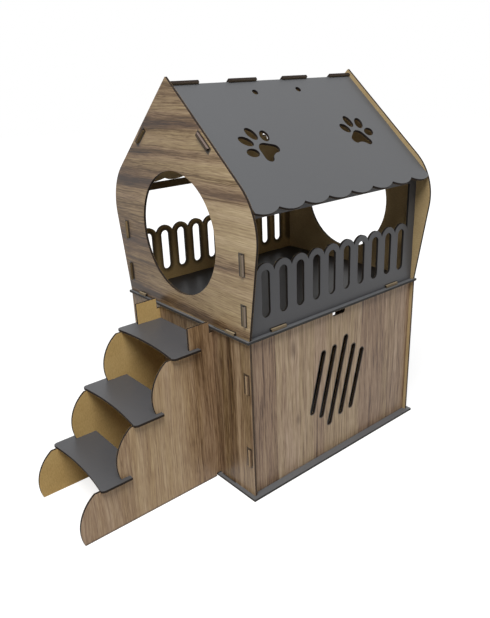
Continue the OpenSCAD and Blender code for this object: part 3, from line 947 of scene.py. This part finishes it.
@dataclass
class LowerRoom:
    """The closed lower room: base and deck plates, two end walls, front and back panels.

    Attributes:
        half_height: Half the walls' height.
        wall_tab_y: Distance from the middle to an end wall's tabs in the plates.
        tab_pitch: Spacing of a panel's two tabs up an end wall.
        tab_l: Length of those tabs up the wall.
        tab_reach: Distance from the middle to their lengthened ends.
    """

    half_height: float = 161 * MM
    wall_tab_y: float = 120 * MM
    tab_pitch: float = 156 * MM
    tab_l: float = 37 * MM
    tab_reach: float = 243.5 * MM

    def dress_walls(self) -> None:
        """Dresses the end walls."""
        stripes = striped(
            (-0.21, -0.17, 0.4), (-0.13, -0.1, 0.3), (-0.04, -0.19, 0.4), (0.05, -0.15, 0.3), (0.098, -0.34, 0.35),
            (0.121, -0.19, 0.2), (0.141, -0.34, 0.3), (0.162, -0.1, 0.35), (0.21, -0.09, 0.5),
        )
        knots = (Knot(0.262, 0.112, 0.008), Knot(0.09, -0.07, 0.007))
        at = (PANEL_Y - WIDE_RIM_SHIFT, ROOM_Z)
        slots = (Slot((ALONG_Y, ALONG_Z), at, WIDE_RIM_HALF, self.tab_pitch),)
        Board(
            "box_left_wall", Facing.LEFT, Grain.UPRIGHT, WALNUT, BARE, WALL_EDGE, 11.0,
            figure=0.6, rings=0.45, joint=Joint.SOFT, stripes=stripes, knots=knots, slots=slots,
        ).dress()
        Board(
            "box_right_wall", Facing.RIGHT, Grain.UPRIGHT, WALNUT, PALE_BARE, WALL_EDGE, 27.0,
            figure=0.6, rings=0.6, stripes=stripes, slots=slots,
        ).dress()

    def dress_panels(self) -> None:
        """Dresses the front and back panels and lengthens their tabs."""
        stripes = striped(
            (-0.24, -0.13, 1.0), (-0.174, 0.09, 0.65), (-0.07, 0.01, 0.9), (-0.037, 0.06, 0.65), (0.001, 0.07, 0.6),
            (0.071, -0.1, 1.0), (0.15, -0.02, 0.9), (0.2, -0.05, 0.95), (0.24, -0.05, 0.95),
        )
        knots = (Knot(0.277, -0.127, 0.009), Knot(0.12, -0.115, 0.006))
        half = (HALF_LENGTH - THICKNESS, self.half_height)
        # Smoky marks along the panels' edges, together with painted shade under the deck plate and at the foot.
        border = Border((ALONG_X, ALONG_Z), (0.0, ROOM_Z), half, strength=0.4)
        ends = ((ALONG_X, self.tab_reach - END_SLACK),)
        Board(
            "box_front_panel", Facing.FRONT, Grain.UPRIGHT, WALNUT, BARE, PANEL_EDGE, 3.0,
            figure=0.3, rings=0.85, stripes=stripes, knots=knots, slots=(Vents(),), border=border, tab_ends=ends,
        ).dress()
        lengthen_tabs("box_front_panel", "lower_room", self.tab_blocks(-1))
        Board(
            "box_back_panel", Facing.BACK, Grain.UPRIGHT, WALNUT, BARE, PANEL_EDGE, 19.0,
            figure=0.35, rings=0.6, stripes=stripes, border=border, tab_ends=ends,
        ).dress()
        lengthen_tabs("box_back_panel", "lower_room", self.tab_blocks(1))

    def dress_plates(self) -> None:
        """Dresses the base and deck plates."""
        slots = (Slot((ALONG_X, ALONG_Y), (HALF_LENGTH - THICKNESS / 2, self.wall_tab_y), SLOT_HALF),)
        for node, seed in (("base_plate", 2.0), ("box_top_plate", 5.0)):
            Board(node, Facing.UP, Grain.LONG, LIT_PLATE_GREY, BARE, PLATE_EDGE, seed, slots=slots).dress()

    def tab_blocks(self, side: int) -> list[Block]:
        """Places what is added to a panel's tabs.

        Args:
            side: -1 for the front panel, 1 for the back one.

        Returns:
            Middle and size of each added length.
        """
        start = HALF_LENGTH - BITE
        size = Vector((self.tab_reach - start, THICKNESS, self.tab_l))
        return [
            (Vector((end * (start + self.tab_reach) / 2, side * PANEL_Y, ROOM_Z + level)), size)
            for end in (-1, 1)
            for level in (-self.tab_pitch / 2, self.tab_pitch / 2)
        ]

    def dress(self) -> None:
        """Dresses every panel of the lower room."""
        self.dress_walls()
        self.dress_panels()
        self.dress_plates()


@dataclass
class House:
    """The house on the deck plate: floor, gables, railings and roof.

    Attributes:
        foot_z: Level of the floor's underside.
        peak_z: Level of the gables' peak.
        tab_reach: Distance from the middle to the ends of all tabs through the gables.
        railing_tab_z: Height of the middle between a railing's two tabs above the foot.
        railing_tab_pitch: Spacing of those tabs.
        roof_slot: Middle of a roof tab's slot: down the slope from the peak, and in from the gable's edge.
        roof_slot_half: Half the size of that slot.
        floor_tab_x: Distance from the middle to the floor's tabs through the railings.
        floor_tab_y: Distance from the middle to the floor's tabs through the gables.
        floor_tab_l: Lengths of the floor's tabs through the railings and through the gables.
        floor_slot_half: Half the size of the slot of a floor tab in a gable.
        floor_reach: Distance from the middle to the ends of the floor's tabs through the railings.
    """

    foot_z: float = 332.3 * MM
    peak_z: float = 768.3 * MM
    tab_reach: float = 244 * MM
    railing_tab_z: float = 91 * MM
    railing_tab_pitch: float = 92 * MM
    roof_slot: Pair = (143.9 * MM, 11.4 * MM)
    roof_slot_half: Pair = (20.5 * MM, 4.8 * MM)
    floor_tab_x: float = 165 * MM
    floor_tab_y: float = 149.5 * MM
    floor_tab_l: Pair = (37 * MM, 25 * MM)
    floor_slot_half: Pair = (12.7 * MM, 2.7 * MM)
    floor_reach: float = 197 * MM

    @property
    def floor_z(self) -> float:
        """Height of the floor's mid-plane."""
        return self.foot_z + THICKNESS / 2

    @property
    def tab_ends(self) -> tuple[tuple[Axis, float], ...]:
        """Axis and distance past which an edge is the end of a tab through a gable."""
        return ((ALONG_X, self.tab_reach - END_SLACK),)

    def dress_gables(self) -> None:
        """Dresses the two gables, with stripes from the foot to the peak."""
        stripes = striped(
            (0.33, -0.19, 0.222), (0.345, -0.37, 0.438), (0.362, -0.1, 0.15), (0.4, -0.055, 0.15),
            (0.44, -0.19, 0.222), (0.455, -0.34, 0.402), (0.475, -0.1, 0.15), (0.52, -0.025, 0.15),
            (0.56, -0.085, 0.15), (0.582, -0.43, 0.51), (0.603, -0.19, 0.222), (0.62, -0.055, 0.15),
            (0.64, -0.28, 0.33), (0.655, -0.04, 0.15), (0.675, -0.1, 0.15), (0.69, -0.49, 0.582),
            (0.703, -0.28, 0.33), (0.716, -0.085, 0.15), (0.74, -0.19, 0.222), (0.77, -0.13, 0.15),
        )
        knots = (Knot(0.07, 0.699, 0.007),)
        down, inward = math.cos(ROOF_PITCH), math.sin(ROOF_PITCH)
        slope, under = (0.0, down, -inward), (0.0, -inward, -down)
        roof_at = (self.roof_slot[0] - self.peak_z * inward, self.roof_slot[1] - self.peak_z * down)
        railing_at = (PANEL_Y - WIDE_RIM_SHIFT, self.foot_z + self.railing_tab_z)
        slots = (
            Slot((ALONG_Y, ALONG_Z), railing_at, WIDE_RIM_HALF, self.railing_tab_pitch),
            Slot((slope, under), roof_at, self.roof_slot_half),
            Slot((ALONG_Y, ALONG_Z), (self.floor_tab_y, self.floor_z), self.floor_slot_half),
        )
        for node, facing, bare, seed, row, marks in (
            ("left_gable", Facing.LEFT, BARE, 41.0, stripes, knots),
            ("right_gable", Facing.RIGHT, PALE_BARE, 57.0, turned(stripes), ()),
        ):
            Board(
                node, facing, Grain.DEEP, WALNUT, bare, EDGE, seed,
                figure=0.65, rings=0.33, drift=-0.9, joint=Joint.SOFT, stripes=row, knots=marks, slots=slots,
            ).dress()

    def dress_railings(self) -> None:
        """Dresses the two railings."""
        slots = (Slot((ALONG_Z, ALONG_X), (self.floor_z, self.floor_tab_x), SLOT_HALF),)
        for node, facing, seed in (("front_railing", Facing.FRONT, 7.0), ("back_railing", Facing.BACK, 8.0)):
            Board(
                node, facing, Grain.LONG, SHADED_RAILING_GREY, BARE, RAILING_EDGE, seed,
                slots=slots, tab_ends=self.tab_ends, smoke_and_shade=FENCE_SMOKE_AND_SHADE,
            ).dress()

    def dress_roofs(self) -> None:
        """Dresses the two roof panels."""
        for node, facing, seed in (("front_roof", Facing.FRONT_SLOPE, 14.0), ("back_roof", Facing.BACK_SLOPE, 15.0)):
            Board(
                node, facing, Grain.LONG, ROOF_GREY, BARE, ROOF_EDGE, seed,
                tab_ends=self.tab_ends, smoke_and_shade=RIDGE_SMOKE_AND_SHADE,
            ).dress()

    def dress_floor(self) -> None:
        """Dresses the floor and lengthens its tabs."""
        ends = (*self.tab_ends, (ALONG_Y, self.floor_reach - END_SLACK))
        Board("house_floor", Facing.UP, Grain.LONG, SHADED_FLOOR_GREY, BARE, FLOOR_EDGE, 13.0, tab_ends=ends).dress()
        lengthen_tabs("house_floor", "house", self.floor_blocks())

    def floor_blocks(self) -> list[Block]:
        """Places what is added to the floor's tabs.

        Returns:
            Middle and size of each added length.
        """
        front, side = PANEL_Y + THICKNESS / 2 - BITE, HALF_LENGTH - BITE
        wide = Vector((self.floor_tab_l[0], self.floor_reach - front, THICKNESS))
        deep = Vector((self.tab_reach - side, self.floor_tab_l[1], THICKNESS))
        blocks = []
        for x in (-1, 1):
            for y in (-1, 1):
                blocks.append((Vector((x * self.floor_tab_x, y * (front + self.floor_reach) / 2, self.floor_z)), wide))
                blocks.append((Vector((x * (side + self.tab_reach) / 2, y * self.floor_tab_y, self.floor_z)), deep))
        return blocks

    def dress(self) -> None:
        """Dresses every panel of the house."""
        self.dress_gables()
        self.dress_railings()
        self.dress_roofs()
        self.dress_floor()


@dataclass
class Stairs:
    """The stairs against the left wall: two round-nosed stringers and three treads.

    Attributes:
        wall_x: Where the stringers end at the wall.
        front_x: Where the lower step starts.
    """

    wall_x: float = -240.3 * MM
    front_x: float = -550 * MM

    def dress_stringers(self) -> None:
        """Dresses the near and the far stringer."""
        stripes = striped(
            (self.front_x, 0.0, 0.6), (-0.466, 0.04, 0.5), (-0.443, -0.02, 0.6), (-0.432, 0.1, 0.3),
            (-0.34, 0.07, 0.25), (-0.266, -0.13, 0.4), (self.wall_x, -0.14, 0.4),
        )
        # A border far larger than the stringer, so that only its lower side, on the floor, is seen.
        # It draws scorch together with painted shade where the stringer stands on the floor.
        foot = Border((ALONG_X, ALONG_Z), (0.0, 1.0), (2.0, 1.0), strength=0.9)
        for node, facing, seed, row in (
            ("near_stringer", Facing.FRONT, 71.0, stripes),
            ("far_stringer", Facing.BACK, 83.0, turned(stripes)),
        ):
            Board(
                node, facing, Grain.UPRIGHT, STAIR_WALNUT, STAIR_BARE, EDGE, seed,
                figure=0.28, rings=0.34, joint=Joint.SOFT, stripes=row, border=foot,
            ).dress()

    def dress_treads(self) -> None:
        """Dresses the three treads."""
        for node, seed in (("lower_tread", 21.0), ("middle_tread", 22.0), ("upper_tread", 23.0)):
            Board(node, Facing.UP, Grain.DEEP, SHADED_TREAD_GREY, STAIR_BARE, EDGE, seed).dress()

    def dress(self) -> None:
        """Dresses every panel of the stairs."""
        self.dress_stringers()
        self.dress_treads()


@dataclass
class Studio:
    """Floor, light and camera.

    Attributes:
        target: Point that the lamp looks at.
        key_aim: Direction from the target to the lamp.
        key_far: Distance of the lamp.
        key_size: Width of the lamp.
        key_level: Light from it on a face that looks at it, 1 for plain light.
        sky_level: Light from all round.
        floor_radius: Radius of the floor.
        floor_shade: How much light the floor throws back.
        floor_glow: Share of white that the floor shows in the deepest shadow.
        glow_edge: Distances from the middle between which that share rises to 1.
        camera_at: The camera's place.
        camera_turn: Its turn to the right of the front, its tilt down and its roll, in degrees.
        lens: Its focal length, in millimetres.
    """

    target: Axis = (-0.08, -0.05, 0.4)
    key_aim: Axis = (-0.37, -0.32, 0.87)
    key_far: float = 2.8
    key_size: float = 1.7
    key_level: float = 1.2
    sky_level: float = 0.2
    floor_radius: float = 9.0
    floor_shade: float = 0.4
    floor_glow: float = 0.78
    glow_edge: Pair = (0.8, 2.0)
    camera_at: Axis = (-0.8558, -0.9438, 0.7675)
    camera_turn: Axis = (39.32, 21.14, -2.392)
    lens: float = 35.396

    def lay_floor(self) -> None:
        """Lays a plain pale floor that looks white and keeps the shadow."""
        mesh = bpy.data.meshes.new("studio_floor")
        shape = bmesh.new()
        bmesh.ops.create_circle(shape, cap_ends=True, segments=96, radius=self.floor_radius)
        shape.to_mesh(mesh)
        shape.free()
        floor = bpy.data.objects.new("studio_floor", mesh)
        bpy.context.scene.collection.objects.link(floor)
        material = bpy.data.materials.new("studio_floor")
        graph = Graph(material)
        point = graph.add("ShaderNodeTexCoord", output="Object")
        far = graph.add("ShaderNodeVectorMath", {"operation": "LENGTH"}, {0: point}, "Value")
        level = graph.blend(graph.step(far, *self.glow_edge), self.floor_glow, 1.0)
        matt = graph.add("ShaderNodeBsdfDiffuse", {}, {"Color": (*[self.floor_shade] * 3, 1.0)})
        glow = graph.add("ShaderNodeEmission", {}, {"Color": graph.seen() * level, "Strength": 1.0})
        graph.show(graph.add("ShaderNodeAddShader", {}, {0: matt, 1: glow}))
        mesh.materials.append(material)

    def light(self) -> None:
        """Hangs the lamp and lights the surroundings."""
        aim = Vector(self.key_aim).normalized()
        data = bpy.data.lights.new("main_lamp", "AREA")
        data.shape, data.size = "DISK", self.key_size
        data.energy = self.key_level * (math.pi * self.key_far) ** 2
        lamp = bpy.data.objects.new("main_lamp", data)
        lamp.location = Vector(self.target) + aim * self.key_far
        lamp.rotation_mode = "QUATERNION"
        lamp.rotation_quaternion = aim.to_track_quat("Z", "Y")
        bpy.context.scene.collection.objects.link(lamp)
        world = bpy.data.worlds.new("studio")
        bpy.context.scene.world = world
        graph = Graph(world)
        level = self.sky_level + graph.seen() * (1 - self.sky_level)
        graph.show(graph.add("ShaderNodeBackground", {}, {"Color": level, "Strength": 1.0}))

    def stand_camera(self) -> None:
        """Puts the camera where the photograph was taken from."""
        yaw, pitch, roll = (math.radians(angle) for angle in self.camera_turn)
        turn = Matrix.Rotation(-yaw, 4, "Z") @ Matrix.Rotation(math.pi / 2 - pitch, 4, "X")
        data = bpy.data.cameras.new("camera")
        data.lens, data.clip_start = self.lens, 0.01
        camera = bpy.data.objects.new("camera", data)
        camera.matrix_world = Matrix.Translation(self.camera_at) @ turn @ Matrix.Rotation(roll, 4, "Z")
        bpy.context.scene.collection.objects.link(camera)
        bpy.context.scene.camera = camera

    def build(self) -> None:
        """Sets the whole studio up."""
        self.lay_floor()
        self.light()
        self.stand_camera()
        bpy.context.scene.view_settings.view_transform = "Standard"
        LOG.info("set up the studio")


def main() -> None:
    """Sets the studio up and dresses the condo unit by unit."""
    logging.basicConfig(level=logging.INFO, format="%(name)s: %(message)s")
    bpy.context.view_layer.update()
    Studio().build()
    for unit in (LowerRoom(), House(), Stairs()):
        unit.dress()


if __name__ == "__main__":
    main()
